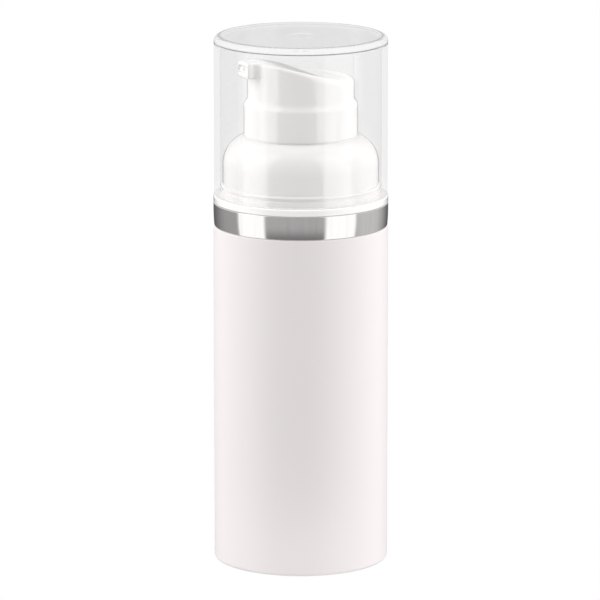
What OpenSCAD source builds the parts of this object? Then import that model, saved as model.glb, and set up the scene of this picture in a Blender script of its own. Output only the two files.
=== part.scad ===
// Airless pump bottle: a white barrel with a rising piston in it, a chromed trim
// ring, a domed collar, a swivelling dispensing head and a clear overcap.
// Millimetres. The axis is Z, z = 0 is the face the bottle stands on, and the
// nozzle points along -X.

/* [Barrel] */
// Outside diameter of the barrel
body_d = 38; // [34:0.5:44]
// Height of the barrel up to the trim ring
body_h = 74.4; // [66:0.1:90]
// Wall of the barrel
body_wall = 1.9; // [1.7:0.1:2.4]
// Round at the outer bottom edge
foot_round = 0.7; // [0.3:0.1:1]
// How much wider the neck is bored than the barrel, on radius
neck_step = 0.8; // [0.6:0.05:1]
// Depth of the neck bore below the top of the barrel
neck_depth = 7.9; // [7:0.1:9.5]
// How much wider the base recess is than the bore, on radius
base_step = 0.3; // [0.2:0.05:0.6]
// Depth of the base recess
base_recess = 2.2; // [2:0.1:3]

/* [Base plate] */
// Thickness of the base plate
plate_t = 1.25; // [1:0.05:1.6]
// Diameter of the vent hole that lets air in under the piston
vent_d = 6; // [5:0.1:8]

/* [Follower piston] */
// Height of the follower piston over both lips
follower_h = 10.6; // [9:0.1:14]
// Height of each sealing lip
lip_h = 2; // [1.2:0.1:2.6]
// How far the waist is set in from the lips
waist_in = 0.65; // [0.4:0.05:1]
// Wall of the follower piston
follower_wall = 1.2; // [1:0.1:1.5]
// Room round the pump chamber in the well of the piston
well_clear = 0.9; // [0.5:0.1:1.5]
// Gap between the piston and the base plate in a full bottle
follower_rest_gap = 0.25; // [0.1:0.05:1]

/* [Trim ring] */
// Height of the chromed ring
ring_h = 5.2; // [3:0.1:8]
// Thickness of the chromed ring
ring_t = 0.7; // [0.5:0.05:0.85]

/* [Collar] */
// Height of the flange above the ring
flange_h = 1.5; // [1:0.05:2.5]
// Height of the plug that the overcap sits on
seat_h = 2.5; // [2:0.1:4]
// Height of the dome above the plug
dome_h = 10.8; // [9.8:0.1:13]
// Radius of the dome's shoulder
dome_round = 6.6; // [5.4:0.1:7.4]
// How far the dome is set in from the plug
dome_step = 0.45; // [0.3:0.05:0.8]
// Wall of the dome
collar_wall = 1.2; // [1:0.1:1.5]
// Wall of the sleeve that goes down into the neck
sleeve_wall = 1.4; // [1.1:0.1:1.8]
// Depth of the snap groove round the plug
groove_deep = 0.2; // [0.1:0.05:0.3]
// Height of the snap groove round the plug
groove_h = 0.6; // [0.4:0.1:1]

/* [Overcap] */
// How far the cap's outside is set in from the barrel's
cap_set_in = 0.15; // [0:0.05:0.4]
// Wall of the cap
cap_wall = 1.3; // [1:0.1:1.6]
// Thickness of the cap's top
cap_top_t = 1.4; // [1:0.1:2]
// Round at the cap's outer top edge
cap_round = 1.25; // [0.6:0.05:1.6]
// Round at the cap's inner top edge
cap_inner_round = 0.6; // [0.3:0.05:1]
// Room between the head and the cap's ceiling
cap_headroom = 3.2; // [1.5:0.1:8]

/* [Pump base and seals] */
// Thickness of the seal on the neck ledge
neck_gasket_t = 0.6; // [0.4:0.1:1]
// Thickness of the web of the pump base
web_t = 1.2; // [1:0.1:2]
// Height of the tower above the web
tower_h = 10.7; // [10:0.1:11.5]
// Wall of the tower
tower_wall = 1.35; // [1:0.05:1.6]
// Number of stiffening ribs round the tower
rib_count = 6; // [3:1:9]
// Height of the ribs above the web
rib_h = 3; // [1.5:0.1:5]
// Thickness of the ribs
rib_t = 0.9; // [0.7:0.1:1.4]
// Thickness of the seal under the chamber's flange
chamber_gasket_t = 0.5; // [0.3:0.1:0.8]

/* [Dosing chamber] */
// Bore of the dosing chamber
chamber_bore = 9.6; // [9:0.1:10.4]
// Wall of the dosing chamber
chamber_wall = 1.2; // [0.9:0.1:1.5]
// Thickness of the chamber's top flange
chamber_flange_t = 1; // [0.8:0.1:1.4]
// Thickness of the chamber's floor
chamber_floor_t = 1.2; // [1:0.1:1.6]
// Diameter of the inlet ball
ball_d = 3; // [2.6:0.1:3.2]
// How far the ball lifts off its seat
ball_lift = 1; // [0.6:0.1:1.4]
// Room round the ball in its pocket
ball_room = 0.25; // [0.15:0.05:0.4]
// Diameter of the inlet hole under the ball
inlet_d = 1.8; // [1.4:0.1:2]
// Thickness of the lip that keeps the ball in
ball_lip_t = 0.6; // [0.4:0.1:0.8]
// Wall round the ball pocket
throat_wall = 1.4; // [1:0.1:1.6]

/* [Chamber cover] */
// Thickness of the cover's top
cover_t = 1.2; // [1:0.1:1.6]
// Wall of the cover's skirt
cover_wall = 1; // [0.8:0.1:1.4]
// Length of the cover's skirt below its top
cover_skirt = 3.6; // [2.5:0.1:4.5]
// Height of the guide round the stem
guide_h = 2.4; // [1.5:0.1:4]
// Wall of the guide round the stem
guide_wall = 0.75; // [0.6:0.05:0.85]

/* [Stem and dosing piston] */
// Stroke of the head
stroke = 5.5; // [4:0.1:6.4]
// Diameter of the stem above its flange
stem_d = 5; // [4.6:0.1:5.2]
// Bore of the stem
stem_bore = 2.8; // [2.4:0.1:3]
// Diameter of the stem under its flange
stem_low_d = 3.8; // [3.6:0.1:4.2]
// Diameter of the stem's flange
stem_flange_d = 7.2; // [6.6:0.1:8]
// Thickness of the stem's flange
stem_flange_t = 1.2; // [1:0.1:1.6]
// Diameter of each side port
port_d = 0.7; // [0.5:0.1:0.8]
// Number of side ports
port_count = 4; // [2:1:4]
// Height of the dosing piston
piston_h = 4.7; // [4:0.1:5.2]
// Play of the dosing piston on the stem, which opens the ports
piston_play = 0.8; // [0.7:0.05:1]
// Thickness of the piston's walls
piston_wall = 0.8; // [0.6:0.05:1]
// Diameter of the stem plug's head
plug_d = 5.8; // [5:0.1:6]
// Thickness of the stem plug's head
plug_t = 1.1; // [0.8:0.1:1.5]
// Length of the stem plug's peg
peg_l = 3; // [2:0.1:4]
// Thickness of the fins on the stem plug's peg
peg_t = 0.9; // [0.7:0.1:1]

/* [Return spring] */
// Diameter of the spring wire
wire_d = 0.8; // [0.6:0.05:0.9]
// Mean diameter of the spring's coils
coil_d = 7.9; // [7.7:0.1:8.6]
// Number of turns
coil_turns = 7; // [5:1:8]
// Pitch of the closed turn at each end
end_pitch = 1.25; // [1.1:0.05:1.5]

/* [Head] */
// Diameter of the head's lower ring
head_ring_d = 24.8; // [23.8:0.1:25.4]
// How far the lower ring dives into the dome
skirt_dive = 4.9; // [3.5:0.1:5.5]
// How far the lower ring stands above the dome
ring_rise = 6.8; // [6.5:0.1:9]
// Diameter of the head's upper part
head_d = 23.3; // [22:0.1:23.6]
// Height of the cove between the two diameters
cove_h = 1.6; // [0.8:0.1:2.4]
// Height of the head above its lower ring
head_upper_h = 10.2; // [9.6:0.1:12]
// Wall of the head
head_wall = 1.2; // [1:0.1:1.4]
// Thickness of the head's top
head_top_t = 1.4; // [1:0.1:1.6]
// Radius of the finger saddle
saddle_r = 28.2; // [24:0.2:34]
// Depth of the finger saddle below the nozzle's top
saddle_deep = 5.4; // [4.6:0.1:5.6]
// How far behind the axis the saddle is deepest
saddle_back = 9; // [8:0.1:10]
// Diameter of the boss that takes the stem
boss_d = 8.4; // [8.2:0.1:9.4]
// How far the boss hangs below the lower ring's top edge
boss_drop = 5; // [4:0.1:6]
// Depth of the stem socket
socket_deep = 7.4; // [6.5:0.1:7.8]
// Diameter of the duct between the stem and the nozzle
duct_d = 2.2; // [1.8:0.1:2.4]

/* [Nozzle] */
// Reach of the nozzle from the axis
nozzle_reach = 14.3; // [13.4:0.1:15.4]
// Width of the nozzle at its tip
nozzle_w = 5.6; // [5.2:0.1:6.4]
// Width of the nozzle where it leaves the head
nozzle_root_w = 9; // [7.5:0.1:10]
// Height of the nozzle
nozzle_h = 4; // [3.6:0.1:4.6]
// Width of the outlet slot
slot_w = 4; // [3:0.1:4.2]
// Height of the outlet slot
slot_h = 1.8; // [1.4:0.1:2]
// Thickness of the nozzle above the slot
slot_roof = 1.4; // [1:0.1:1.6]

/* [Clearances] */
// Radial gap of a pressed or seated piece
fit_gap = 0.05; // [0.02:0.01:0.1]
// Radial gap of a piece that slides or turns
run_gap = 0.05; // [0.02:0.01:0.1]
// Radial gap between the head's lower ring and the dome
head_gap = 0.25; // [0.15:0.05:0.4]
// Radial gap between the cap and the plug
cap_gap = 0.1; // [0.05:0.01:0.2]
// Gap left by each moving piece at the end of its travel
end_gap = 0.25; // [0.15:0.05:0.5]
// Gap under a moving piece that rests on a seat
rest_gap = 0.05; // [0.02:0.01:0.1]

/* [Hidden] */
$fn = 96;
// A cut runs this far past the face it opens
past = 1;

// Radii of the barrel
body_r = body_d / 2;
bore_r = body_r - body_wall;
neck_r = bore_r + neck_step;
recess_r = bore_r + base_step;
ledge_z = body_h - neck_depth;

// Heights of the pump base and the seals, from the neck ledge upwards
web_z = ledge_z + neck_gasket_t;
web_top_z = web_z + web_t;
tower_z = web_top_z + tower_h;
flange_seat_z = tower_z + chamber_gasket_t;
cover_z = flange_seat_z + chamber_flange_t;
cover_top_z = cover_z + cover_t;

// Radii of the dosing chamber and what goes round it
chamber_r = chamber_bore / 2;
chamber_out_r = chamber_r + chamber_wall;
tower_in_r = chamber_out_r + fit_gap;
tower_r = tower_in_r + tower_wall;
cover_in_r = tower_r + fit_gap;
cover_r = cover_in_r + cover_wall;

// Heights of the stem and the dosing piston at rest, from the cover downwards
stem_flange_top_z = cover_z - rest_gap;
stem_flange_z = stem_flange_top_z - stem_flange_t;
piston_top_z = stem_flange_z - piston_play - rest_gap;
piston_z = piston_top_z - piston_h;
stem_z = piston_z - rest_gap;
plug_z = stem_z - plug_t;

// Heights of the chamber's floor and its inlet valve, under the full stroke
floor_top_z = plug_z - stroke - end_gap;
floor_z = floor_top_z - chamber_floor_t;
ball_lip_z = floor_top_z - ball_lip_t;
ball_r = ball_d / 2;
ball_z = ball_lip_z - rest_gap - ball_lift - ball_r;
pocket_r = ball_r + ball_room;
inlet_r = inlet_d / 2;
// The 45 degree seat lies the rest gap clear of the ball
seat_line = (ball_r + rest_gap) * sqrt(2);
seat_low_z = ball_z - seat_line + inlet_r;
seat_high_z = ball_z - seat_line + pocket_r;
chamber_z = seat_low_z - 0.4;
throat_r = pocket_r + throat_wall;

// Heights and radii of the follower piston in a full bottle
plate_top_z = base_recess - fit_gap;
follower_z = plate_top_z + follower_rest_gap;
follower_top_z = follower_z + follower_h;
follower_r = bore_r - run_gap;
follower_travel = ledge_z - follower_top_z;
well_r = chamber_out_r + well_clear;
well_z = chamber_z - end_gap - 0.6 - follower_travel;

// Heights and radii of the trim ring, the collar and the cap
ring_top_z = body_h + ring_h;
ring_in_r = body_r - ring_t;
flange_top_z = ring_top_z + flange_h;
cap_r = body_r - cap_set_in;
cap_in_r = cap_r - cap_wall;
seat_r = cap_in_r - cap_gap;
seat_top_z = flange_top_z + seat_h;
dome_r = seat_r - dome_step;
dome_top_z = seat_top_z + dome_h;
sleeve_r = neck_r - fit_gap;

// Heights and radii of the head at rest
head_ring_r = head_ring_d / 2;
head_r = head_d / 2;
skirt_z = dome_top_z - skirt_dive;
head_ring_z = dome_top_z + ring_rise;
head_top_z = head_ring_z + head_upper_h;
boss_z = head_ring_z - boss_drop;
socket_z = boss_z + socket_deep;
stem_r = stem_d / 2;
stem_top_z = socket_z - rest_gap;
duct_z = socket_z + duct_d / 2 - 0.1;
outlet_z = head_top_z - slot_roof - slot_h / 2;
outlet_from = nozzle_reach - 4.6;
saddle_z = head_top_z - saddle_deep + saddle_r;
cap_z = flange_top_z + rest_gap;
cap_top_z = head_top_z + cap_headroom + cap_top_t;

// A tube between two radii and two heights
module tube(inner, outer, low, high) {
    rotate_extrude() translate([inner, low]) square([outer - inner, high - low]);
}

// A rectangle from the axis out to a radius, with its top outer corner rounded
module post_profile(radius, low, high, corner) {
    difference() {
        translate([0, low]) square([radius, high - low]);
        translate([radius - corner, high - corner]) difference() {
            square(corner + past);
            circle(corner);
        }
    }
}

// The barrel: bored through, wider at the neck and at the base recess
module bottle() {
    color("whitesmoke") rotate_extrude() difference() {
        translate([0, 0]) square([body_r, body_h]);
        translate([0, -past]) square([bore_r, body_h + 2 * past]);
        translate([0, ledge_z]) square([neck_r, neck_depth + past]);
        translate([0, -past]) square([recess_r, base_recess + past]);
        translate([body_r - foot_round, foot_round]) mirror([0, 1]) difference() {
            square(foot_round + past);
            circle(foot_round);
        }
    }
}

// The plate that closes the base, with a vent and a finger dimple
module base_plate() {
    dimple_r = recess_r / 3;
    color("whitesmoke") difference() {
        tube(0, recess_r - fit_gap, plate_top_z - plate_t, plate_top_z);
        translate([0, 0, -past]) cylinder(d = vent_d, h = base_recess + 2 * past);
        translate([0, 0, plate_top_z - plate_t - past])
            cylinder(r = dimple_r, h = past + plate_t / 4);
    }
}

// The piston that follows the product up: two lips, a waist and a well that
// goes round the dosing chamber at the top of its travel
module follower_piston() {
    color("white") rotate_extrude() difference() {
        translate([0, follower_z]) square([follower_r, follower_h]);
        translate([follower_r - waist_in, follower_z + lip_h])
            square([waist_in + past, follower_h - 2 * lip_h]);
        translate([0, well_z]) square([well_r, follower_top_z - well_z + past]);
        difference() {
            translate([0, follower_z - past])
                square([follower_r - waist_in - follower_wall,
                    follower_h - follower_wall + past]);
            translate([0, well_z - follower_wall])
                square([well_r + follower_wall, follower_h]);
        }
    }
}

// The chromed ring between the barrel and the collar's flange
module trim_ring() {
    color("silver") tube(ring_in_r, body_r, body_h, ring_top_z);
}

// The collar: a sleeve in the neck, a flange, the plug for the cap and the dome
module collar() {
    color("white") rotate_extrude() difference() {
        union() {
            translate([0, web_top_z]) square([sleeve_r, flange_top_z - web_top_z]);
            translate([0, body_h]) square([ring_in_r - fit_gap, ring_h]);
            translate([0, ring_top_z]) square([body_r, flange_h]);
            post_profile(seat_r, flange_top_z, seat_top_z, dome_step);
            post_profile(dome_r, seat_top_z - past, dome_top_z, dome_round);
        }
        translate([seat_r - groove_deep, flange_top_z + seat_h / 2])
            square([groove_deep + past, groove_h]);
        translate([0, web_top_z - past])
            square([sleeve_r - sleeve_wall, flange_top_z - web_top_z + past]);
        post_profile(dome_r - collar_wall, flange_top_z - past,
            dome_top_z - collar_wall, dome_round - collar_wall);
        translate([0, web_top_z - past])
            square([head_ring_r + head_gap, dome_top_z - web_top_z + 2 * past]);
    }
}

// The soft seal between the neck ledge and the pump base
module neck_gasket() {
    color("gainsboro") tube(bore_r + fit_gap, neck_r - fit_gap, ledge_z, web_z);
}

// The pump base: a web across the neck with a ribbed tower for the chamber
module pump_base() {
    color("white") union() {
        tube(tower_in_r, neck_r - fit_gap, web_z, web_top_z);
        tube(tower_in_r, tower_r, web_z, tower_z);
        for (i = [0:rib_count - 1]) rotate([0, 0, 30 + i * 360 / rib_count])
            translate([tower_r - tower_wall / 2, -rib_t / 2, web_z])
                cube([sleeve_r - sleeve_wall - 1 - tower_r, rib_t, web_t + rib_h]);
    }
}

// The soft seal between the tower and the chamber's flange
module chamber_gasket() {
    color("gainsboro") tube(tower_in_r, tower_r, tower_z, flange_seat_z);
}

// The dosing chamber: a flanged cylinder with a ball valve in its throat
module pump_chamber() {
    color("ghostwhite") difference() {
        rotate_extrude() difference() {
            union() {
                translate([0, floor_z]) square([chamber_out_r, cover_z - floor_z]);
                translate([0, flange_seat_z]) square([tower_r, chamber_flange_t]);
                translate([0, chamber_z]) square([throat_r, floor_top_z - chamber_z]);
            }
            translate([0, floor_top_z]) square([chamber_r, cover_z - floor_top_z + past]);
            translate([0, chamber_z - past]) square([inlet_r, floor_top_z]);
            polygon([[0, seat_low_z], [inlet_r, seat_low_z], [pocket_r, seat_high_z],
                [pocket_r, ball_lip_z], [0, ball_lip_z]]);
        }
        // Three slots past the lip keep the inlet open when the ball is up
        for (a = [0:120:240]) rotate([0, 0, a])
            translate([0, -0.5, ball_lip_z - 0.2])
                cube([pocket_r, 1, ball_lip_t + 0.2 + past]);
    }
}

// The inlet valve's ball
module inlet_ball() {
    color("slategray") translate([0, 0, ball_z]) sphere(ball_r);
}

// The cap that holds the chamber on the tower and guides the stem
module chamber_cover() {
    guide_r = stem_r + run_gap;
    color("white") union() {
        tube(guide_r, cover_r, cover_z, cover_top_z);
        tube(cover_in_r, cover_r, cover_z - cover_skirt, cover_top_z);
        tube(guide_r, guide_r + guide_wall, cover_z, cover_top_z + guide_h);
    }
}

// The hollow stem: flange under the cover, ports just above the plug
module stem() {
    color("white") difference() {
        union() {
            tube(0, stem_low_d / 2, stem_z, stem_flange_z + past / 2);
            tube(0, stem_flange_d / 2, stem_flange_z, stem_flange_top_z);
            tube(0, stem_r, stem_flange_z, stem_top_z);
        }
        translate([0, 0, stem_z - past]) cylinder(d = stem_bore, h = stem_top_z);
        for (i = [0:port_count - 1]) rotate([0, 0, 45 + i * 360 / port_count])
            translate([0, 0, stem_z + rest_gap + 0.05 + port_d / 2]) rotate([0, 90, 0])
                cylinder(d = port_d, h = stem_d);
    }
}

// The plug under the stem: its head lifts the dosing piston, and the finned
// peg leaves room for the product to pass
module stem_plug() {
    peg_r = stem_bore / 2 - 0.01;
    color("white") union() {
        tube(0, plug_d / 2, plug_z, stem_z);
        intersection() {
            tube(0, peg_r, stem_z - plug_t / 2, stem_z + peg_l);
            for (a = [0, 90]) rotate([0, 0, a])
                translate([-stem_bore, -peg_t / 2, plug_z])
                    cube([2 * stem_bore, peg_t, plug_t + peg_l + past]);
        }
    }
}

// The dosing piston: a hub on the stem, a web and a lipped skirt in the bore
module pump_piston() {
    hub_r = stem_low_d / 2 + run_gap;
    skirt_r = chamber_r - run_gap;
    color("ivory") rotate_extrude() union() {
        translate([hub_r, piston_z]) square([piston_wall, piston_h]);
        translate([hub_r, piston_z + piston_h * 0.4])
            square([skirt_r - hub_r - 0.2, piston_wall]);
        translate([skirt_r - piston_wall, piston_z + 0.3])
            square([piston_wall - 0.15, piston_h - 0.6]);
        for (z = [piston_z + 0.3, piston_top_z - 0.9])
            translate([skirt_r - piston_wall, z]) square([piston_wall, 0.6]);
    }
}

// The return spring: one unbroken wire with a closer turn at each end
spring_low = cover_top_z + rest_gap;
spring_high = boss_z - rest_gap;
spring_rise = spring_high - spring_low - wire_d;
mid_pitch = (spring_rise - 2 * end_pitch) / (coil_turns - 2);
coil_steps = 16;
wire_sides = 6;
function coil_z(t) = t < 1 ? end_pitch * t
    : t > coil_turns - 1 ? spring_rise - end_pitch * (coil_turns - t)
    : end_pitch + mid_pitch * (t - 1);
function wire_point(t, side) =
    let (out = coil_d / 2 + wire_d / 2 * cos(side * 360 / wire_sides))
    [out * cos(360 * t), out * sin(360 * t),
        spring_low + wire_d / 2 + coil_z(t)
            + wire_d / 2 * sin(side * 360 / wire_sides)];

module return_spring() {
    rings = coil_turns * coil_steps;
    points = [for (k = [0:rings], s = [0:wire_sides - 1]) wire_point(k / coil_steps, s)];
    sides = [for (k = [0:rings - 1], s = [0:wire_sides - 1])
        let (n = (s + 1) % wire_sides, a = k * wire_sides, b = a + wire_sides)
        each [[a + s, b + s, b + n], [a + s, b + n, a + n]]];
    last = rings * wire_sides;
    ends = [for (s = [1:wire_sides - 2])
        each [[0, s, s + 1], [last, last + s + 1, last + s]]];
    color("lightsteelblue") polyhedron(points, concat(sides, ends));
}

// The outside of the head before the saddle is cut
module head_outside() {
    rotate_extrude() polygon([[0, skirt_z], [head_ring_r, skirt_z],
        [head_ring_r, head_ring_z], [head_r, head_ring_z + cove_h],
        [head_r, head_top_z], [0, head_top_z]]);
    translate([0, 0, head_top_z - nozzle_h]) linear_extrude(nozzle_h)
        polygon([[0, -nozzle_root_w / 2], [head_r - 1, -nozzle_root_w / 2],
            [head_r + 0.6, -nozzle_w / 2], [nozzle_reach, -nozzle_w / 2],
            [nozzle_reach, nozzle_w / 2], [head_r + 0.6, nozzle_w / 2],
            [head_r - 1, nozzle_root_w / 2], [0, nozzle_root_w / 2]]);
}

// The saddle's cylinder, which lies across the nozzle
module saddle(radius) {
    translate([-saddle_back, body_d, saddle_z]) rotate([90, 0, 0])
        cylinder(r = radius, h = 2 * body_d, $fn = 180);
}

// The hollow under the head's top, round the boss and the duct's rib
module head_hollow() {
    ring_in = head_ring_r - head_wall;
    upper_in = head_r - head_wall;
    difference() {
        rotate_extrude() polygon([[0, skirt_z - past], [ring_in, skirt_z - past],
            [ring_in, head_ring_z - head_wall / 2], [upper_in, head_ring_z + cove_h],
            [upper_in, head_top_z - head_top_t], [0, head_top_z - head_top_t]]);
        saddle(saddle_r + head_top_t);
        translate([0, 0, boss_z]) cylinder(d = boss_d, h = head_top_z);
        translate([0, -nozzle_w / 2, duct_z - duct_d])
            cube([body_d, nozzle_w, head_top_z]);
    }
}

// The ways for the product: socket, rise, sloping duct and outlet slot
module head_ways() {
    run = outlet_from + 0.6;
    climb = outlet_z - duct_z;
    translate([0, 0, boss_z - past]) cylinder(r = stem_r + run_gap, h = socket_deep + past);
    translate([0, 0, boss_z]) cylinder(d = stem_bore, h = duct_z + duct_d / 4 - boss_z);
    translate([0, 0, duct_z]) rotate([0, 90 - atan2(climb, run), 0])
        cylinder(d = duct_d, h = norm([run, climb]));
    translate([outlet_from, 0, outlet_z]) rotate([90, 0, 90])
        linear_extrude(nozzle_reach) union() {
            square([slot_w - slot_h, slot_h], center = true);
            for (side = [-1, 1]) translate([side * (slot_w - slot_h) / 2, 0])
                circle(d = slot_h);
        }
}

// The dispensing head
module head() {
    color("white") rotate([0, 0, 180]) difference() {
        head_outside();
        saddle(saddle_r);
        head_hollow();
        head_ways();
    }
}

// The clear overcap
module overcap() {
    color("lightgray", 0.4) rotate_extrude() difference() {
        post_profile(cap_r, cap_z, cap_top_z, cap_round);
        post_profile(cap_in_r, cap_z - past, cap_top_z - cap_top_t, cap_inner_round);
    }
}

bottle();
base_plate();
follower_piston();
trim_ring();
collar();
neck_gasket();
pump_base();
chamber_gasket();
pump_chamber();
inlet_ball();
chamber_cover();
stem();
stem_plug();
pump_piston();
return_spring();
head();
overcap();
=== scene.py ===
# An airless pump bottle: a white barrel, a chromed ring, a domed collar, a dispensing
# head and a clear overcap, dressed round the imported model. Lengths are millimetres
# until a mesh is written, which is in metres.
import math

import bmesh
import bpy
import numpy as np
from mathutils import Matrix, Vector


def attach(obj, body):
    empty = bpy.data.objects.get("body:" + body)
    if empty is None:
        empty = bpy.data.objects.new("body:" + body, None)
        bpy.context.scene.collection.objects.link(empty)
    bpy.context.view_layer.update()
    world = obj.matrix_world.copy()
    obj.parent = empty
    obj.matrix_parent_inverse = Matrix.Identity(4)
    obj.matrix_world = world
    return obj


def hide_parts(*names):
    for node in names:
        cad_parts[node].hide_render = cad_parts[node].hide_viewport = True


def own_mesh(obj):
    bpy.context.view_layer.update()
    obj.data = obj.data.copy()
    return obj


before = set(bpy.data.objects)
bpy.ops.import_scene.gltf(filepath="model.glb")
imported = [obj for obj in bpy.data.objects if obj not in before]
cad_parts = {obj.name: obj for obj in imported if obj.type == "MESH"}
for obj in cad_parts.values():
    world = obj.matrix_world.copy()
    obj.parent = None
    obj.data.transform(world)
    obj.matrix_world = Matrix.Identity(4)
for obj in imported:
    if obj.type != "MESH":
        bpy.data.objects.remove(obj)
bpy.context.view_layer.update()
MM = 0.001
SEGMENTS = 224

# Heights and radii of the pieces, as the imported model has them
BODY_R, BODY_TOP = 19.0, 74.4
RING_TOP, FLANGE_TOP = 79.6, 81.1
PLUG_R, PLUG_TOP = 17.45, 83.6
DOME_R, DOME_TOP, DOME_HOLE_R = 17.0, 94.4, 12.45
CAP_R, CAP_IN_R, CAP_LOW, CAP_CEILING, CAP_TOP = 18.85, 17.55, 81.15, 114.6, 116.0
HEAD_RING_R, HEAD_R, SKIRT_LOW, COVE_TOP, HEAD_TOP = 12.4, 11.65, 89.5, 102.8, 111.4

# The finger saddle: the radius, place behind the axis and height of its long curve
SADDLE_R, SADDLE_BACK, SADDLE_Z = 44.0, 11.0, 150.94


# Small helpers for node trees

def put(tree, kind, sockets=None, **settings):
    """Adds a node with its settings, and sets or links its inputs."""
    node = tree.nodes.new(kind)
    for name, value in settings.items():
        setattr(node, name, value)
    for name, value in (sockets or {}).items():
        wire(tree, value, node.inputs[name])
    return node


def wire(tree, value, socket):
    """Links an output to a socket, or sets the socket to a plain value."""
    if isinstance(value, bpy.types.NodeSocket):
        tree.links.new(value, socket)
    else:
        socket.default_value = value


def sums(tree, operation, *values, clamp=False):
    """One Math node; gives its output."""
    node = tree.nodes.new("ShaderNodeMath")
    node.operation = operation
    node.use_clamp = clamp
    for socket, value in zip(node.inputs, values):
        wire(tree, value, socket)
    return node.outputs[0]


def between(tree, value, low, high, to_low=0.0, to_high=1.0, kind="SMOOTHSTEP"):
    """A value moved from one range to another, held at both ends."""
    node = put(tree, "ShaderNodeMapRange", {"Value": value, "From Min": low, "From Max": high,
                                            "To Min": to_low, "To Max": to_high})
    node.interpolation_type = kind
    return node.outputs[0]


def belt(tree, value, low, middle, high):
    """Full at the middle value and nothing below the low one or above the high one."""
    return sums(tree, "MULTIPLY", between(tree, value, low, middle),
                between(tree, value, high, middle))


def group_of(name, inputs, outputs):
    """An empty shader group with named inputs and outputs."""
    tree = bpy.data.node_groups.new(name, "ShaderNodeTree")
    for label, kind, value in inputs:
        socket = tree.interface.new_socket(label, in_out="INPUT", socket_type=kind)
        socket.default_value = value
    for label, kind in outputs:
        tree.interface.new_socket(label, in_out="OUTPUT", socket_type=kind)
    return tree, tree.nodes.new("NodeGroupInput").outputs, tree.nodes.new("NodeGroupOutput").inputs


# Finishes

FLOAT, COLOUR = "NodeSocketFloat", "NodeSocketColor"


def moulded_group():
    """Moulded plastic: cloudy colour, patchy gloss and a faint ripple of the skin."""
    tree, given, out = group_of(
        "moulded skin",
        [("Colour", COLOUR, (0.8, 0.8, 0.8, 1)), ("Cloud colour", COLOUR, (0.7, 0.7, 0.7, 1)),
         ("Cloudiness", FLOAT, 0.2), ("Roughness", FLOAT, 0.25), ("Roughness spread", FLOAT, 0.05),
         ("Ripple size", FLOAT, 500.0), ("Grain size", FLOAT, 6000.0), ("Grain share", FLOAT, 0.2)],
        [("Colour", COLOUR), ("Roughness", FLOAT), ("Height", FLOAT)])
    place = put(tree, "ShaderNodeTexCoord").outputs["Object"]
    clouds = put(tree, "ShaderNodeTexNoise", {"Vector": place, "Scale": 55.0, "Detail": 3.0})
    patches = put(tree, "ShaderNodeTexNoise", {"Vector": place, "Scale": 240.0, "Detail": 4.0})
    ripple = put(tree, "ShaderNodeTexNoise", {"Vector": place, "Scale": given["Ripple size"],
                                              "Detail": 1.5})
    grain = put(tree, "ShaderNodeTexNoise", {"Vector": place, "Scale": given["Grain size"],
                                             "Detail": 2.0})
    cloud = between(tree, clouds.outputs[0], 0.35, 0.65)
    mix = put(tree, "ShaderNodeMix", data_type="RGBA")
    wire(tree, sums(tree, "MULTIPLY", cloud, given["Cloudiness"]), mix.inputs["Factor"])
    wire(tree, given["Colour"], mix.inputs[6])
    wire(tree, given["Cloud colour"], mix.inputs[7])
    wire(tree, mix.outputs[2], out["Colour"])
    patch = sums(tree, "SUBTRACT", patches.outputs[0], 0.5)
    wire(tree, sums(tree, "MULTIPLY_ADD", patch, given["Roughness spread"], given["Roughness"]),
         out["Roughness"])
    wire(tree, sums(tree, "MULTIPLY_ADD", grain.outputs[0], given["Grain share"],
                    ripple.outputs[0]), out["Height"])
    return tree


def plated_group():
    """Bright plating: soft upright streaks and fine wiping marks."""
    tree, given, out = group_of(
        "plated skin",
        [("Roughness", FLOAT, 0.07), ("Streak share", FLOAT, 0.05), ("Wave size", FLOAT, 300.0)],
        [("Roughness", FLOAT), ("Height", FLOAT), ("Stain", FLOAT)])
    place = put(tree, "ShaderNodeTexCoord").outputs["Object"]
    upright = put(tree, "ShaderNodeMapping", {"Vector": place, "Scale": (1.0, 1.0, 0.06)})
    around = put(tree, "ShaderNodeMapping", {"Vector": place, "Scale": (0.05, 0.05, 1.0)})
    streaks = put(tree, "ShaderNodeTexNoise", {"Vector": upright.outputs[0], "Scale": 900.0,
                                               "Detail": 3.0})
    wipes = put(tree, "ShaderNodeTexNoise", {"Vector": around.outputs[0], "Scale": 5000.0,
                                             "Detail": 2.0})
    waves = put(tree, "ShaderNodeTexNoise", {"Vector": upright.outputs[0],
                                             "Scale": given["Wave size"], "Detail": 1.0})
    streak = between(tree, streaks.outputs[0], 0.42, 0.7)
    both = sums(tree, "MULTIPLY_ADD", wipes.outputs[0], 0.5, streak)
    wire(tree, sums(tree, "MULTIPLY_ADD", both, given["Streak share"], given["Roughness"]),
         out["Roughness"])
    wire(tree, waves.outputs[0], out["Height"])
    wire(tree, streak, out["Stain"])
    return tree


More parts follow.
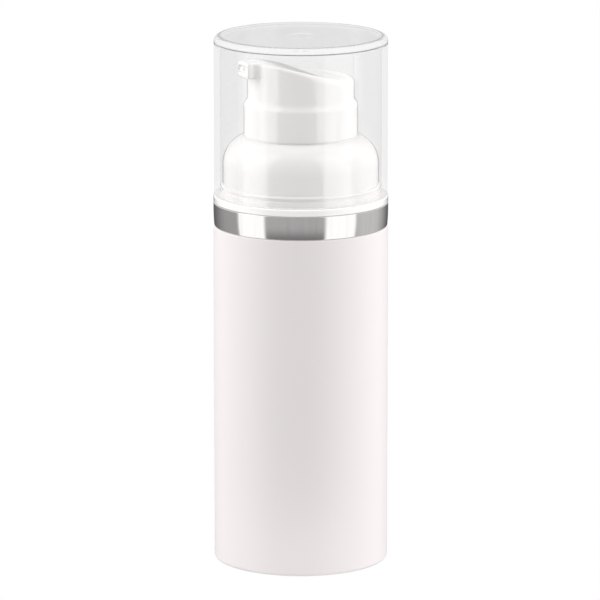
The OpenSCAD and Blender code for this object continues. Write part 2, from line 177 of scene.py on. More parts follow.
def polished_group():
    """Polished clear plastic: long soft waves and a few hair-fine rubs."""
    tree, given, out = group_of(
        "polished skin",
        [("Roughness", FLOAT, 0.0), ("Rub share", FLOAT, 0.03), ("Wave size", FLOAT, 160.0)],
        [("Roughness", FLOAT), ("Height", FLOAT)])
    place = put(tree, "ShaderNodeTexCoord").outputs["Object"]
    waves = put(tree, "ShaderNodeTexNoise", {"Vector": place, "Scale": given["Wave size"],
                                             "Detail": 0.0})
    slanted = put(tree, "ShaderNodeMapping", {"Vector": place, "Rotation": (0.3, 0.5, 0.9),
                                              "Scale": (1.0, 14.0, 14.0)})
    rubs = put(tree, "ShaderNodeTexNoise", {"Vector": slanted.outputs[0], "Scale": 420.0,
                                            "Detail": 2.0})
    rub = between(tree, rubs.outputs[0], 0.66, 0.8)
    wire(tree, sums(tree, "MULTIPLY_ADD", rub, given["Rub share"], given["Roughness"]),
         out["Roughness"])
    wire(tree, waves.outputs[0], out["Height"])
    return tree


MOULDED, PLATED, POLISHED = moulded_group(), plated_group(), polished_group()


def new_material(name):
    """A material with an empty tree and its output node."""
    material = bpy.data.materials.new(name)
    material.use_nodes = True
    tree = material.node_tree
    tree.nodes.clear()
    return material, tree, put(tree, "ShaderNodeOutputMaterial")


def skin(tree, group, values):
    """A group placed in a material with its own values; gives its outputs."""
    node = put(tree, "ShaderNodeGroup", node_tree=group)
    for name, value in values.items():
        wire(tree, value, node.inputs[name])
    return node.outputs


def bumped(tree, height, depth_mm):
    """A normal from a height, as deep as it says."""
    bump = put(tree, "ShaderNodeBump", {"Strength": 1.0, "Distance": depth_mm * MM,
                                        "Height": height})
    return bump.outputs[0]


def plastic(name, colour, cloud, cloudiness=0.2, roughness=0.25, spread=0.06, ripple=420.0,
            ripple_deep=0.004, grain=6000.0, grain_share=0.15, coat=0.0, inside=0.0, ior=1.49):
    """A moulded white plastic."""
    material, tree, end = new_material(name)
    made = skin(tree, MOULDED, {
        "Colour": (*colour, 1), "Cloud colour": (*cloud, 1), "Cloudiness": cloudiness,
        "Roughness": roughness, "Roughness spread": spread, "Ripple size": ripple,
        "Grain size": grain, "Grain share": grain_share})
    shader = put(tree, "ShaderNodeBsdfPrincipled", {
        "Base Color": made["Colour"], "Roughness": made["Roughness"], "IOR": ior,
        "Coat Weight": coat, "Coat Roughness": 0.05, "Subsurface Weight": inside,
        "Subsurface Radius": (0.9, 0.8, 0.7), "Subsurface Scale": 0.0012,
        "Normal": bumped(tree, made["Height"], ripple_deep)})
    wire(tree, shader.outputs[0], end.inputs["Surface"])
    return material


def barrel_finish():
    return plastic("barrel white", (0.755, 0.715, 0.712), (0.735, 0.70, 0.698), roughness=0.4)


def base_finish():
    return plastic("base white", (0.78, 0.75, 0.745), (0.73, 0.71, 0.70), 0.4, 0.38, 0.12,
                   ripple=900.0, grain_share=0.6)


def collar_finish():
    return plastic("collar white", (0.88, 0.858, 0.85), (0.865, 0.845, 0.838), roughness=0.13,
                   coat=0.8)


def head_finish():
    return plastic("head white", (0.88, 0.858, 0.85), (0.865, 0.845, 0.838), roughness=0.13,
                   ripple=300.0, ripple_deep=0.003, coat=0.8)


def piston_finish():
    return plastic("piston white", (0.80, 0.79, 0.75), (0.74, 0.73, 0.68), 0.5, 0.46, 0.12)


def engine_finish():
    return plastic("engine white", (0.79, 0.78, 0.76), (0.74, 0.73, 0.71), 0.4, 0.4, 0.1)


def natural_finish():
    return plastic("engine natural", (0.72, 0.73, 0.71), (0.64, 0.66, 0.64), 0.5, 0.35, 0.1,
                   inside=0.3)


def rubber_finish():
    return plastic("seal rubber", (0.66, 0.66, 0.62), (0.58, 0.58, 0.54), 0.5, 0.62, 0.1,
                   ripple=1500.0, ripple_deep=0.01)


def chrome_finish():
    """Mirror-bright plating on the ring."""
    material, tree, end = new_material("trim chrome")
    made = skin(tree, PLATED, {"Roughness": 0.075, "Streak share": 0.05, "Wave size": 220.0})
    tint = put(tree, "ShaderNodeMix", data_type="RGBA")
    wire(tree, made["Stain"], tint.inputs["Factor"])
    wire(tree, (0.94, 0.915, 0.91, 1), tint.inputs[6])
    wire(tree, (0.91, 0.885, 0.88, 1), tint.inputs[7])
    shader = put(tree, "ShaderNodeBsdfPrincipled", {
        "Base Color": tint.outputs[2], "Metallic": 1.0, "Roughness": made["Roughness"],
        "Normal": bumped(tree, made["Height"], 0.003)})
    wire(tree, shader.outputs[0], end.inputs["Surface"])
    return material


def steel_finish():
    """Drawn stainless wire and the polished ball."""
    material, tree, end = new_material("bright steel")
    made = skin(tree, PLATED, {"Roughness": 0.2, "Streak share": 0.12, "Wave size": 900.0})
    shader = put(tree, "ShaderNodeBsdfPrincipled", {
        "Base Color": (0.62, 0.63, 0.65, 1), "Metallic": 1.0, "Roughness": made["Roughness"],
        "Normal": bumped(tree, made["Height"], 0.003)})
    wire(tree, shader.outputs[0], end.inputs["Surface"])
    return material


def mixed(tree, factor, first, second):
    """Two shaders mixed; gives the mixed one."""
    mix = put(tree, "ShaderNodeMixShader", {"Fac": factor})
    wire(tree, first, mix.inputs[1])
    wire(tree, second, mix.inputs[2])
    return mix.outputs[0]


def cap_painted_lines(tree):
    """The height in the cap, and how dark its painted lines are: painted dark lines that stand in
    for the dark edges that refraction shows, one under the shoulder and one round the rim of the
    top."""
    wall_from, top_from, painted_rim_share = 17.75, 115.3, 0.85
    place = put(tree, "ShaderNodeSeparateXYZ",
                {"Vector": put(tree, "ShaderNodeTexCoord").outputs["Object"]}).outputs
    height = sums(tree, "DIVIDE", place["Z"], MM)
    across = sums(tree, "MULTIPLY", place["X"], place["X"])
    across = sums(tree, "MULTIPLY_ADD", place["Y"], place["Y"], across)
    reach = sums(tree, "DIVIDE", sums(tree, "SQRT", across), MM)
    facing_in = put(tree, "ShaderNodeNewGeometry").outputs["Backfacing"]
    # A painted dark line under the shoulder, on the outer face only: painted refraction shade, not
    # a mark in the plastic.
    under = sums(tree, "MULTIPLY", belt(tree, height, 114.44, 114.64, 114.86),
                 sums(tree, "GREATER_THAN", reach, wall_from))
    under = sums(tree, "MULTIPLY", under, sums(tree, "SUBTRACT", 1.0, facing_in))
    # A painted dark line round the rim of the top: painted refraction shade, not a mark in the
    # plastic.
    rim = sums(tree, "MULTIPLY", belt(tree, reach, 17.0, 17.75, 18.35),
               sums(tree, "GREATER_THAN", height, top_from))
    return height, sums(tree, "MULTIPLY_ADD", rim, painted_rim_share, under)


def glass_with_painted_lines(tree, lines):
    """The refracting top of the cap, with painted dark lines in its colour where refraction shows
    dark edges.
    """
    made = skin(tree, POLISHED, {"Roughness": 0.0, "Rub share": 0.006, "Wave size": 110.0})
    tint = put(tree, "ShaderNodeMix", data_type="RGBA")
    wire(tree, lines, tint.inputs["Factor"])
    # The clear glass colour, and the near-black of the painted lines that stand in for refraction
    # shade.
    wire(tree, (0.93, 0.93, 0.93, 1), tint.inputs[6])
    wire(tree, (0.16, 0.16, 0.16, 1), tint.inputs[7])
    return put(tree, "ShaderNodeBsdfPrincipled", {
        "Base Color": tint.outputs[2], "Metallic": 0.0, "IOR": 1.33,
        "Transmission Weight": 1.0, "Roughness": made["Roughness"],
        "Normal": bumped(tree, made["Height"], 0.001)}).outputs[0]


def thin_wall(tree):
    """The cap's thin side wall, which lets the view through unbent under a faint gloss."""
    most_gloss = 0.055
    thin = put(tree, "ShaderNodeBsdfTransparent", {"Color": (0.975, 0.975, 0.975, 1)})
    gloss = put(tree, "ShaderNodeBsdfGlossy", {"Roughness": 0.03})
    mirror = put(tree, "ShaderNodeFresnel", {"IOR": 1.45}).outputs[0]
    return mixed(tree, sums(tree, "MINIMUM", mirror, most_gloss), thin.outputs[0],
                 gloss.outputs[0])


def clear_finish():
    """Clear polished plastic. Light for what stands inside passes it straight, and so do
    rays that have bounced in it for long."""
    wall_top, glass_low, most_bounces = 114.1, 114.3, 5.5
    material, tree, end = new_material("cap clear")
    # Painted dark lines in the glass's colour stand in for the dark edges that refraction shows at
    # the shoulder and rim.
    height, lines = cap_painted_lines(tree)
    whole = mixed(tree, between(tree, height, glass_low, wall_top), glass_with_painted_lines(tree, lines),
                  thin_wall(tree))
    through = put(tree, "ShaderNodeBsdfTransparent", {"Color": (0.97, 0.97, 0.97, 1)})
    path = put(tree, "ShaderNodeLightPath")
    light = sums(tree, "MAXIMUM", path.outputs["Is Shadow Ray"], path.outputs["Is Diffuse Ray"])
    trapped = sums(tree, "GREATER_THAN", path.outputs["Ray Depth"], most_bounces)
    wire(tree, mixed(tree, sums(tree, "MAXIMUM", light, trapped), whole, through.outputs[0]),
         end.inputs["Surface"])
    return material


# Shapes

def rounded(corners, turn_step=12.0):
    """An outline whose corners (radius, height, round) are drawn as arcs. A point just
    outside each arc keeps the long walls flat to the light."""
    points = []
    for i, (x, y, radius) in enumerate(corners):
        here = Vector((x, y))
        back = Vector(corners[i - 1][:2]) - here
        ahead = Vector(corners[(i + 1) % len(corners)][:2]) - here
        if radius <= 0:
            points.append((x, y))
            continue
        to_back, to_ahead = back.normalized(), ahead.normalized()
        half = to_back.angle(to_ahead) / 2
        reach = radius / math.tan(half)
        centre = here + (to_back + to_ahead).normalized() * radius / math.sin(half)
        spoke = here + to_back * reach - centre
        turn = math.copysign(math.pi - 2 * half, -to_back.cross(to_ahead))
        steps = max(2, math.ceil(abs(math.degrees(turn)) / turn_step))
        room = min(reach * 0.35, 0.12)
        if back.length > reach + 2 * room:
            points.append(tuple(here + to_back * (reach + room)))
        for k in range(steps + 1):
            angle = turn * k / steps
            points.append((centre.x + spoke.x * math.cos(angle) - spoke.y * math.sin(angle),
                           centre.y + spoke.x * math.sin(angle) + spoke.y * math.cos(angle)))
        if ahead.length > reach + 2 * room:
            points.append(tuple(here + to_ahead * (reach + room)))
    return points


def lathe_tree():
    """Turns an outline round the bottle's axis."""
    tree = bpy.data.node_groups.new("turned on the axis", "GeometryNodeTree")
    for name, kind in (("Outline", "NodeSocketGeometry"), ("Reference radius", "NodeSocketFloat"),
                       ("Segments", "NodeSocketInt"), ("Finish", "NodeSocketMaterial")):
        tree.interface.new_socket(name, in_out="INPUT", socket_type=kind)
    tree.interface.new_socket("Piece", in_out="OUTPUT", socket_type="NodeSocketGeometry")
    given = tree.nodes.new("NodeGroupInput").outputs
    outline = put(tree, "GeometryNodeMeshToCurve", {"Mesh": given["Outline"]})
    circle = put(tree, "GeometryNodeCurvePrimitiveCircle",
                 {"Resolution": given["Segments"], "Radius": given["Reference radius"]})
    swept = put(tree, "GeometryNodeCurveToMesh", {"Curve": circle.outputs["Curve"],
                                                  "Profile Curve": outline.outputs["Curve"]})
    merged = put(tree, "GeometryNodeMergeByDistance", {"Geometry": swept.outputs["Mesh"],
                                                       "Distance": 0.002 * MM})
    finish_tree(tree, merged.outputs["Geometry"], given["Finish"])
    return tree


def wire_tree():
    """Draws a round wire along a path, with closed ends."""
    tree = bpy.data.node_groups.new("wire along a path", "GeometryNodeTree")
    for name, kind in (("Path", "NodeSocketGeometry"), ("Wire radius", "NodeSocketFloat"),
                       ("Sides", "NodeSocketInt"), ("Finish", "NodeSocketMaterial")):
        tree.interface.new_socket(name, in_out="INPUT", socket_type=kind)
    tree.interface.new_socket("Piece", in_out="OUTPUT", socket_type="NodeSocketGeometry")
    given = tree.nodes.new("NodeGroupInput").outputs
    path = put(tree, "GeometryNodeMeshToCurve", {"Mesh": given["Path"]})
    ring = put(tree, "GeometryNodeCurvePrimitiveCircle",
               {"Resolution": given["Sides"], "Radius": given["Wire radius"]})
    swept = put(tree, "GeometryNodeCurveToMesh", {
        "Curve": path.outputs["Curve"], "Profile Curve": ring.outputs["Curve"],
        "Fill Caps": True})
    finish_tree(tree, swept.outputs["Mesh"], given["Finish"])
    return tree


def finish_tree(tree, geometry, finish):
    """The end that every tree has: smooth, real, with its material."""
    smooth = put(tree, "GeometryNodeSetShadeSmooth", {"Geometry": geometry})
    real = put(tree, "GeometryNodeRealizeInstances", {"Geometry": smooth.outputs[0]})
    dressed = put(tree, "GeometryNodeSetMaterial", {"Geometry": real.outputs[0],
                                                    "Material": finish})
    out = tree.nodes.new("NodeGroupOutput")
    wire(tree, dressed.outputs[0], out.inputs["Piece"])


LATHE, WIRE = lathe_tree(), wire_tree()


def line_mesh(points, closed):
    """A mesh of edges alone, which a tree follows."""
    mesh = bpy.data.meshes.new("line")
    edges = [(i, i + 1) for i in range(len(points) - 1)]
    if closed:
        edges.append((len(points) - 1, 0))
    mesh.from_pydata(points, edges, [])
    return mesh


def grown(name, mesh, tree, values):
    """The plain mesh that a tree makes of a line."""
    holder = bpy.data.objects.new(name, mesh)
    bpy.context.scene.collection.objects.link(holder)
    modifier = holder.modifiers.new("shape", "NODES")
    modifier.node_group = tree
    sockets = {item.name: item.identifier for item in tree.interface.items_tree
               if item.in_out == "INPUT"}
    for label, value in values.items():
        modifier[sockets[label]] = value
    ready = holder.evaluated_get(bpy.context.evaluated_depsgraph_get())
    made = bpy.data.meshes.new_from_object(ready)
    bpy.data.objects.remove(holder)
    return made


def set_outward(mesh, sharp=40.0):
    """Points the faces outwards and keeps steep corners crisp."""
    form = bmesh.new()
    form.from_mesh(mesh)
    bmesh.ops.recalc_face_normals(form, faces=form.faces)
    if form.calc_volume(signed=True) < 0:
        bmesh.ops.reverse_faces(form, faces=form.faces)
    form.to_mesh(mesh)
    form.free()
    mesh.set_sharp_from_angle(angle=math.radians(sharp))


def shown(name, mesh, material, body, node):
    """Puts a finished mesh in the scene in place of its CAD node."""
    piece = bpy.data.objects.new(name, mesh)
    bpy.context.scene.collection.objects.link(piece)
    mesh.materials.clear()
    mesh.materials.append(material)
    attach(piece, body)
    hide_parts(node)
    return piece


def turned(name, outline, material, body, node, closed=True, segments=SEGMENTS):
    """A piece turned round the axis from its outline of (radius, height)."""
    reference = 10.0
    line = line_mesh([((r - reference) * MM, -z * MM, 0) for r, z in outline], closed)
    mesh = grown(name, line, LATHE, {"Reference radius": reference * MM, "Segments": segments,
                                     "Finish": material})
    set_outward(mesh)
    return shown(name, mesh, material, body, node)


def round_cut(a, b, radius):
    """Where two fields overlap, with the edge between them rounded."""
    return (np.minimum(-radius, np.maximum(a, b))
            + np.hypot(np.maximum(radius + a, 0), np.maximum(radius + b, 0)))


def round_join(a, b, radius):
    """Two fields joined, with a fillet between them."""
    return (np.maximum(radius, np.minimum(a, b))
            - np.hypot(np.maximum(radius - a, 0), np.maximum(radius - b, 0)))


def field_slope(field, points, reach=0.02):
    """The slope of a field at some points."""
    slope = np.empty_like(points)
    for axis in range(3):
        step = np.zeros(3)
        step[axis] = reach
        slope[:, axis] = (field(*(points + step).T) - field(*(points - step).T)) / (2 * reach)
    return slope


def crossing_points(grid, value, step):
    """Where each edge of a grid crosses zero: for each cell the middle of its crossings,
    and for each axis the crossed edges and which way they face."""
    cells = np.array(value.shape) - 1
    total, number, crossings = np.zeros((*cells, 3)), np.zeros(cells), []
    for axis in range(3):
        u, v = (axis + 1) % 3, (axis + 2) % 3
        first, last = [slice(None)] * 3, [slice(None)] * 3
        first[axis], last[axis] = slice(0, -1), slice(1, None)
        a, b = value[tuple(first)], value[tuple(last)]
        cross = (a < 0) != (b < 0)
        place = grid[tuple(first)].copy()
        place[..., axis] += np.where(cross, a / np.where(cross, a - b, 1), 0) * step
        place *= cross[..., None]
        for du in (0, 1):
            for dv in (0, 1):
                part = [slice(None)] * 3
                part[u], part[v] = slice(du, du + cells[u]), slice(dv, dv + cells[v])
                total += place[tuple(part)]
                number += cross[tuple(part)]
        crossings.append((cross, a < 0))
    used = number > 0
    return used, total[used] / number[used][:, None], crossings


def net_faces(used, crossings):
    """The squares between the cells' points, all facing out."""
    cells = used.shape
    index = np.full(cells, -1)
    index[used] = np.arange(used.sum())
    faces = []
    for axis, (cross, outward) in enumerate(crossings):
        u, v = (axis + 1) % 3, (axis + 2) % 3
        at = np.argwhere(cross)
        at = at[(at[:, u] > 0) & (at[:, v] > 0) & (at[:, u] < cells[u]) & (at[:, v] < cells[v])]
        corner = []
        for du, dv in ((-1, -1), (0, -1), (0, 0), (-1, 0)):
            cell = at.copy()
            cell[:, u] += du
            cell[:, v] += dv
            corner.append(index[tuple(cell.T)])
        square = np.stack(corner, 1)
        flip = ~outward[tuple(at.T)]
        square[flip] = square[flip][:, ::-1]
        faces.append(square)
    return np.concatenate(faces)


def field_mesh(name, field, low, high, step):
    """The closed skin on which a field is zero, as a net of squares. Its points are moved
    onto the skin along the field's slope."""
    rounds, least_slope, most_move = 4, 0.2, 0.35
    low = np.array(low)
    counts = np.ceil((np.array(high) - low) / step).astype(int) + 1
    grid = np.stack(np.meshgrid(*[low[i] + step * np.arange(counts[i]) for i in range(3)],
                                indexing="ij"), -1)
    used, points, crossings = crossing_points(grid, field(*np.moveaxis(grid, -1, 0)), step)
    for _ in range(rounds):
        slope = field_slope(field, points)
        steep = np.maximum((slope ** 2).sum(1), least_slope)[:, None]
        move = field(*points.T)[:, None] * slope / steep
        points -= np.clip(move, -most_move * step, most_move * step)
    mesh = bpy.data.meshes.new(name)
    mesh.from_pydata((points * MM).tolist(), [], net_faces(used, crossings).tolist())
    mesh.shade_smooth()
    return mesh


# The pieces

def barrel(finish):
    """The barrel: bored, wider at the neck and in the base recess."""
    neck_r, bore_r, recess_r, ledge, recess = 17.9, 17.1, 17.4, 66.5, 2.2
    outline = rounded([
        (BODY_R, 0, 0.7), (BODY_R, BODY_TOP, 0.22), (neck_r, BODY_TOP, 0.1),
        (neck_r, ledge, 0.05), (bore_r, ledge, 0.1), (bore_r, recess, 0.05),
        (recess_r, recess, 0.05), (recess_r, 0, 0.2)])
    return turned("barrel", outline, finish, "housing", "bottle")


def base_plate(finish):
    """The plate in the base, with its dimple, its vent and two raised rings."""
    low, high, rim, vent, dimple = 0.9, 2.15, 17.35, 3.0, 5.8
    outline = rounded([
        (rim, low, 0.15), (rim, high, 0.1), (vent, high, 0.1), (vent, low + 0.31, 0.15),
        (dimple, low + 0.31, 0.12), (dimple + 0.2, low, 0.1), (11.2, low, 0.1),
        (11.35, low + 0.25, 0.1), (12.1, low + 0.25, 0.1), (12.25, low, 0.1)])
    return turned("base_plate_shown", outline, finish, "housing", "base_plate")


def trim_ring(finish):
    """The plated ring, with its two edges eased."""
    inner, low, high, tuck, tucked = 18.3, BODY_TOP, RING_TOP, 0.17, 2.1
    outline = rounded([(BODY_R - tuck, low, 0.2), (BODY_R, low + tucked, 40.0),
                       (BODY_R, high, 0.24), (inner, high, 0.1), (inner, low, 0.1)], 0.5)
    return turned("ring", outline, finish, "housing", "trim_ring")


def collar(finish):
    """The collar: sleeve, flange, grooved plug and dome."""
    sleeve_r, sleeve_in, sleeve_low = 17.85, 16.45, 68.3
    under_ring_r, wall, groove_low, groove_high, groove = 18.25, 1.2, 82.35, 82.95, 0.2
    shoulder = 6.6
    outline = rounded([
        (sleeve_r, sleeve_low, 0.3), (sleeve_r, BODY_TOP, 0.05),
        (under_ring_r, BODY_TOP, 0.1), (under_ring_r, RING_TOP, 0.05),
        (BODY_R, RING_TOP, 0.2), (BODY_R, FLANGE_TOP, 0.28), (PLUG_R, FLANGE_TOP, 0.12),
        (PLUG_R, groove_low, 0.08), (PLUG_R - groove, groove_low, 0.05),
        (PLUG_R - groove, groove_high, 0.05), (PLUG_R, groove_high, 0.08),
        (PLUG_R, PLUG_TOP, 0.4), (DOME_R, PLUG_TOP, 0.02), (DOME_R, DOME_TOP, shoulder),
        (DOME_HOLE_R, DOME_TOP, 0.12), (DOME_HOLE_R, DOME_TOP - wall, 0.2),
        (DOME_R - wall, DOME_TOP - wall, shoulder - wall), (DOME_R - wall, FLANGE_TOP, 0.3),
        (sleeve_in, FLANGE_TOP, 0.1), (sleeve_in, sleeve_low, 0.2)], turn_step=7.5)
    return turned("collar_shown", outline, finish, "housing", "collar")


def cap(finish):
    """The overcap: one clear wall with soft corners, a gate mark on top and a snap bead."""
    bead_mid, bead, gate_r, gate_deep = 82.65, 0.08, 2.4, 0.09
    outline = [(0.0, CAP_TOP - gate_deep)] + rounded([
        (-2, CAP_TOP - gate_deep, 0), (gate_r - 0.3, CAP_TOP - gate_deep, 0.3),
        (gate_r, CAP_TOP, 0.3), (CAP_R, CAP_TOP, 1.25), (CAP_R, CAP_LOW, 0.3),
        (CAP_IN_R, CAP_LOW, 0.25), (CAP_IN_R, bead_mid - 0.35, 0.1),
        (CAP_IN_R - bead, bead_mid, 0.2), (CAP_IN_R, bead_mid + 0.35, 0.1),
        (CAP_IN_R, CAP_CEILING, 0.6), (-2, CAP_CEILING, 0)],
        turn_step=6.0)[1:-1] + [(0.0, CAP_CEILING)]
    return turned("cap_shown", outline, finish, "cap", "overcap", closed=False)


def with_nozzle(ring_and_body, s, r, across, z):
    """The head's turned form with the nozzle joined on by small fillets."""
    half, low, tip, flare = 2.65, 107.5, 14.0, 1.5
    tip_round, low_round, least_fillet, most_fillet = 0.55, 0.6, 0.01, 0.7
    tongue = np.maximum(across - half, -s)
    plan = np.where(s > 0, round_join(r - HEAD_R, tongue, flare), r - HEAD_R)
    fillet = np.clip(r - HEAD_R - plan, least_fillet, most_fillet)
    tongue = round_cut(round_cut(plan, s - tip, tip_round), low - z, low_round)
    return round_join(ring_and_body, tongue, fillet)


def head_hollow(s, r, across, z):
    """The room inside the head, round the boss for the stem and the rib to the nozzle."""
    wall, roof, boss_r, boss_low, rib_half, rib_low = 1.2, 1.4, 4.2, 96.2, 2.65, 102.4
    narrows_from, narrowing, inner_round = 100.6, 0.341, 0.3
    inner = np.where(z < narrows_from, HEAD_RING_R - wall,
                     np.clip(HEAD_RING_R - wall - (z - narrows_from) * narrowing,
                             HEAD_R - wall, None))
    ceiling = np.maximum(z - HEAD_TOP, SADDLE_R - np.hypot(s + SADDLE_BACK, z - SADDLE_Z)) + roof
    rib = np.maximum(np.maximum(across - rib_half, rib_low - z), -s)
    boss = np.maximum(r - boss_r, boss_low - z)
    return round_cut(np.maximum(r - inner, ceiling), -np.minimum(rib, boss), inner_round)


def head_ways(s, y, z, r):
    """The ways for the product: socket, rise, sloping duct and outlet slot."""
    duct_z, outlet_z, outlet_from, duct_r, past = 104.6, 109.5, 13.6, 0.3, 0.3
    slot_half, slot_round = 1.52, 0.72
    socket_r, socket_top, rise_r, rise_past = 2.55, 103.6, 1.4, 0.55
    slot = np.maximum(np.hypot(np.maximum(np.abs(y) - slot_half, 0), z - outlet_z) - slot_round,
                      outlet_from - s)
    socket = np.maximum(r - socket_r, z - socket_top)
    rise = np.maximum(r - rise_r, z - duct_z - rise_past)
    run, climb = outlet_from + past, outlet_z - duct_z
    along = np.clip((s * run + (z - duct_z) * climb) / (run ** 2 + climb ** 2), 0, 1)
    duct = np.sqrt((s - along * run) ** 2 + y ** 2 + (z - duct_z - along * climb) ** 2) - duct_r
    return np.minimum(np.minimum(slot, duct), np.minimum(socket, rise))


def head_field(x, y, z):
    """The head as one field of distances, negative inside. The nozzle points along -X."""
    s, r, across = -x, np.hypot(x, y), np.abs(y)
    cove_r, cove_reach, ring_edge, skirt_edge, brow = 2.082, 13.732, 0.28, 0.35, 3.0
    droop, droop_from, droop_length = 0.4, 8, 6
    edge_at, edges = [-9, 3, 9, 13], [1.5, 1.3, 0.9, 0.45]
    upper = np.where(z < COVE_TOP, cove_r - np.hypot(r - cove_reach, z - COVE_TOP), r - HEAD_R)
    outside = round_cut(r - HEAD_RING_R, upper, ring_edge)
    outside = with_nozzle(outside, s, r, across, z)
    saddle = SADDLE_R - np.hypot(s + SADDLE_BACK, z - SADDLE_Z)
    falls = droop * np.clip((s - droop_from) / droop_length, 0, 1) ** 2
    top = round_cut(z - HEAD_TOP + falls, saddle, brow)
    outside = round_cut(outside, top, np.interp(s, edge_at, edges))
    solid = round_cut(outside, SKIRT_LOW - z, skirt_edge)
    ways = head_ways(s, y, z, r)
    return np.maximum(solid, -np.minimum(head_hollow(s, r, across, z), ways))


def head(finish):
    """The dispensing head, drawn from its field."""
    low, high, step = (-14.9, -13, 89), (13, 13, 112), 0.27
    mesh = field_mesh("head_shown", head_field, low, high, step)
    return shown("head_shown", mesh, finish, "actuator", "head")


def spring(finish):
    """The return spring: closed turns at both ends and open turns between them."""
    low, high, wire_r, mean_r, turns, end_pitch, steps = 81.75, 96.15, 0.4, 3.95, 7, 1.25, 40
    rise = high - low - 2 * wire_r
    mid_pitch = (rise - 2 * end_pitch) / (turns - 2)
    path = []
    for k in range(turns * steps + 1):
        t = k / steps
        climb = end_pitch * min(t, 1) + mid_pitch * min(max(t - 1, 0), turns - 2)
        climb += end_pitch * max(t - turns + 1, 0)
        path.append((mean_r * MM * math.cos(math.tau * t), mean_r * MM * math.sin(math.tau * t),
                     (low + wire_r + climb) * MM))
    mesh = grown("spring", line_mesh(path, False), WIRE,
                 {"Wire radius": wire_r * MM, "Sides": 14, "Finish": finish})
    set_outward(mesh)
    piece = shown("spring", mesh, finish, "housing", "return_spring")
    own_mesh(piece)
    return piece


def dress(node, finish):
    """Gives a CAD node that stays its finish."""
    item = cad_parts[node]
    item.data.materials.clear()
    item.data.materials.append(finish)


# The stage

CAMERA_AZIMUTH, CAMERA_UP, CAMERA_FAR = -26.0, 12.16, 1.15
LENS, AIM_Z, AIM_SIDE = 316.04, 0.057417, -0.00018


def camera():
    """The camera, at the photograph's angle, distance and width of view."""
    a, e = math.radians(CAMERA_AZIMUTH), math.radians(CAMERA_UP)
    back = Vector((math.sin(a) * math.cos(e), -math.cos(a) * math.cos(e), math.sin(e)))
    aim = Vector((math.cos(a) * AIM_SIDE, math.sin(a) * AIM_SIDE, AIM_Z))
    data = bpy.data.cameras.new("camera")
    data.lens, data.sensor_width, data.clip_start, data.clip_end = LENS, 36.0, 0.01, 100.0
    item = bpy.data.objects.new("camera", data)
    bpy.context.scene.collection.objects.link(item)
    item.location = aim + back * CAMERA_FAR
    item.rotation_euler = back.to_track_quat("Z", "Y").to_euler()
    bpy.context.scene.camera = item


def floor():
    """A plain pale floor."""
    mesh = bpy.data.meshes.new("floor")
    reach = 12.0
    mesh.from_pydata([(-reach, -reach, 0), (reach, -reach, 0), (reach, reach, 0),
                      (-reach, reach, 0)], [], [(0, 1, 2, 3)])
    item = bpy.data.objects.new("floor", mesh)
    bpy.context.scene.collection.objects.link(item)
    material, tree, end = new_material("pale floor")
    lit = put(tree, "ShaderNodeEmission", {"Color": (1, 1, 1, 1), "Strength": 1.0})
    wire(tree, lit.outputs[0], end.inputs["Surface"])
    mesh.materials.append(material)
    item.visible_glossy = False
    item.visible_diffuse = False
    item.visible_shadow = False
    item.visible_transmission = False


def window(tree, across, up, left, right):
    """A tall soft-edged softbox between two bearings, in degrees from the camera."""
    low, high, soft, low_soft, high_soft = -42, 64, 2.5, 14, 10
    sides = sums(tree, "MULTIPLY", between(tree, across, left - soft, left + soft),
                 between(tree, across, right + soft, right - soft))
    ends = sums(tree, "MULTIPLY", between(tree, up, low - low_soft, low + low_soft),
                between(tree, up, high + high_soft, high - high_soft))
    return sums(tree, "MULTIPLY", sides, ends)


def lay(tree, under, patch, value):
    """Lays a brightness over another where a patch says."""
    return sums(tree, "MULTIPLY_ADD", patch, sums(tree, "SUBTRACT", value, under), under)


def directions(tree):
    """The bearing from the camera and the height of each way out, in degrees."""
    way = put(tree, "ShaderNodeSeparateXYZ",
              {"Vector": put(tree, "ShaderNodeTexCoord").outputs["Generated"]}).outputs
    degrees = 180 / math.pi
    bearing = sums(tree, "ARCTAN2", way["X"], sums(tree, "MULTIPLY", way["Y"], -1.0))
    across = sums(tree, "WRAP", sums(tree, "MULTIPLY_ADD", bearing, degrees, -CAMERA_AZIMUTH),
                  180.0, -180.0)
    return across, sums(tree, "MULTIPLY", sums(tree, "ARCSINE", way["Z"]), degrees)


def room_light(tree, across, up, far_through, box):
    """The brightness of the studio by direction: a dim front, a far side that is darkest
    straight behind, a pale ceiling and table, and two softboxes."""
    dark, pale, far_up, far_seen, behind_dark = 0.12, 0.85, 0.66, 0.95, 0.2
    off = sums(tree, "ABSOLUTE", across)
    far_low = lay(tree, between(tree, across, -95, 90, 0.33, 0.54), between(tree, off, 112, 165),
                  dark)
    front = between(tree, up, -13, -24, 0.40, dark)
    far = lay(tree, far_low, between(tree, up, -11, -4), far_up)
    behind = sums(tree, "MULTIPLY", between(tree, off, 150, 172), between(tree, up, -2, -5.5))
    far = lay(tree, far, far_through, lay(tree, far_seen, behind, behind_dark))
    light = lay(tree, front, between(tree, off, 60, 95), far)
    light = lay(tree, light, between(tree, up, 48, 72), pale)
    light = lay(tree, light, between(tree, up, -35, -60), pale)
    for left, right in ((-91, -49), (33, 78)):
        light = lay(tree, light, window(tree, across, up, left, right), box)
    return light


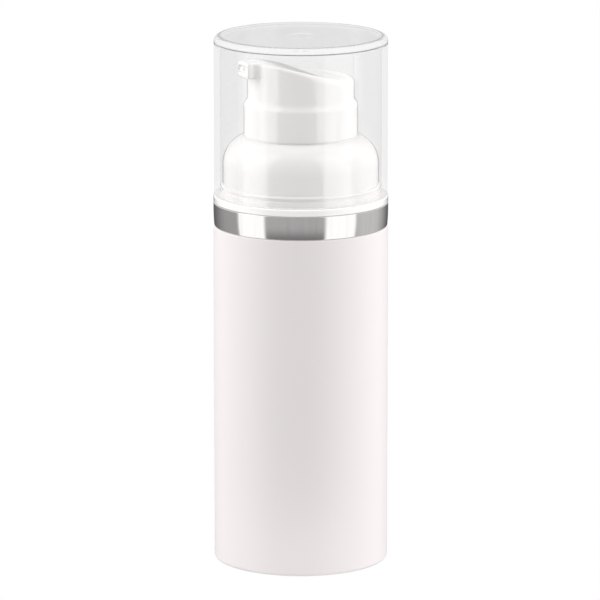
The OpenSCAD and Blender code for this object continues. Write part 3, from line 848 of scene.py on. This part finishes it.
def studio():
    """A white ground behind, and round the bottle a studio that its gloss and chrome
    mirror. Rays are told apart by the clear walls they have passed."""
    world = bpy.data.worlds.new("studio")
    bpy.context.scene.world = world
    world.use_nodes = True
    tree = world.node_tree
    tree.nodes.clear()
    box_bare, box_inside, box_far, spread = 1.08, 1.5, 2.0, 1.25
    across, up = directions(tree)
    path = put(tree, "ShaderNodeLightPath").outputs
    bent = path["Transmission Depth"]
    walls = sums(tree, "ADD", bent, path["Transparent Depth"])
    mirrored = sums(tree, "GREATER_THAN", path["Glossy Depth"], 0.5)
    far_through = sums(tree, "MULTIPLY", mirrored, sums(tree, "GREATER_THAN", walls, 3.5))
    outermost = sums(tree, "MULTIPLY", mirrored, sums(tree, "LESS_THAN", walls, 0.5))
    box = lay(tree, lay(tree, box_inside, outermost, box_bare), far_through, box_far)
    light = room_light(tree, across, up, far_through, box)
    light = sums(tree, "MULTIPLY", light, lay(tree, spread, mirrored, 1.0))
    straight = sums(tree, "MULTIPLY", path["Is Transmission Ray"],
                    sums(tree, "SUBTRACT", 1.0, far_through))
    in_wall = sums(tree, "GREATER_THAN", sums(tree, "FRACT", sums(tree, "MULTIPLY", bent, 0.5)),
                   0.25)
    through = sums(tree, "MULTIPLY", sums(tree, "MAXIMUM", straight, in_wall),
                   sums(tree, "LESS_THAN", path["Diffuse Depth"], 0.5))
    seen = sums(tree, "MAXIMUM", path["Is Camera Ray"], through)
    ground = put(tree, "ShaderNodeBackground", {"Color": (1, 1, 1, 1),
                                                "Strength": lay(tree, light, seen, 1.0)})
    end = put(tree, "ShaderNodeOutputWorld")
    wire(tree, ground.outputs[0], end.inputs["Surface"])


def soft_light(name, across, up, distance, width, height, watts, aim=0.06):
    """A wide lamp that lights the white plastic and isn't seen in its gloss."""
    data = bpy.data.lights.new(name, "AREA")
    data.shape, data.size, data.size_y, data.energy = "RECTANGLE", width, height, watts
    item = bpy.data.objects.new(name, data)
    bpy.context.scene.collection.objects.link(item)
    a, e = math.radians(CAMERA_AZIMUTH + across), math.radians(up)
    way = Vector((math.sin(a) * math.cos(e), -math.cos(a) * math.cos(e), math.sin(e)))
    item.location = way * distance + Vector((0, 0, aim))
    item.rotation_euler = way.to_track_quat("Z", "Y").to_euler()
    item.visible_camera = item.visible_glossy = item.visible_transmission = False


def view_settings():
    """White stays white."""
    scene = bpy.context.scene
    scene.view_settings.view_transform = "Standard"
    scene.view_settings.look = "None"


# Putting it together

camera()
view_settings()
studio()
floor()
soft_light("left side", -100, 28, 0.45, 0.5, 0.4, 1.3)
soft_light("right side", 100, 28, 0.45, 0.5, 0.4, 1.15)
soft_light("table glow", 0, 4, 0.034, 0.05, 0.008, 0.0006, aim=0.001)

STEEL, NATURAL, ENGINE = steel_finish(), natural_finish(), engine_finish()
PISTON, RUBBER = piston_finish(), rubber_finish()
barrel(barrel_finish())
base_plate(base_finish())
trim_ring(chrome_finish())
collar(collar_finish())
cap(clear_finish())
head(head_finish())
spring(STEEL)
for node, finish in (("follower_piston", PISTON), ("pump_piston", PISTON), ("inlet_ball", STEEL),
                     ("neck_gasket", RUBBER), ("chamber_gasket", RUBBER),
                     ("pump_base", ENGINE), ("chamber_cover", ENGINE),
                     ("pump_chamber", NATURAL), ("stem", NATURAL), ("stem_plug", NATURAL)):
    dress(node, finish)
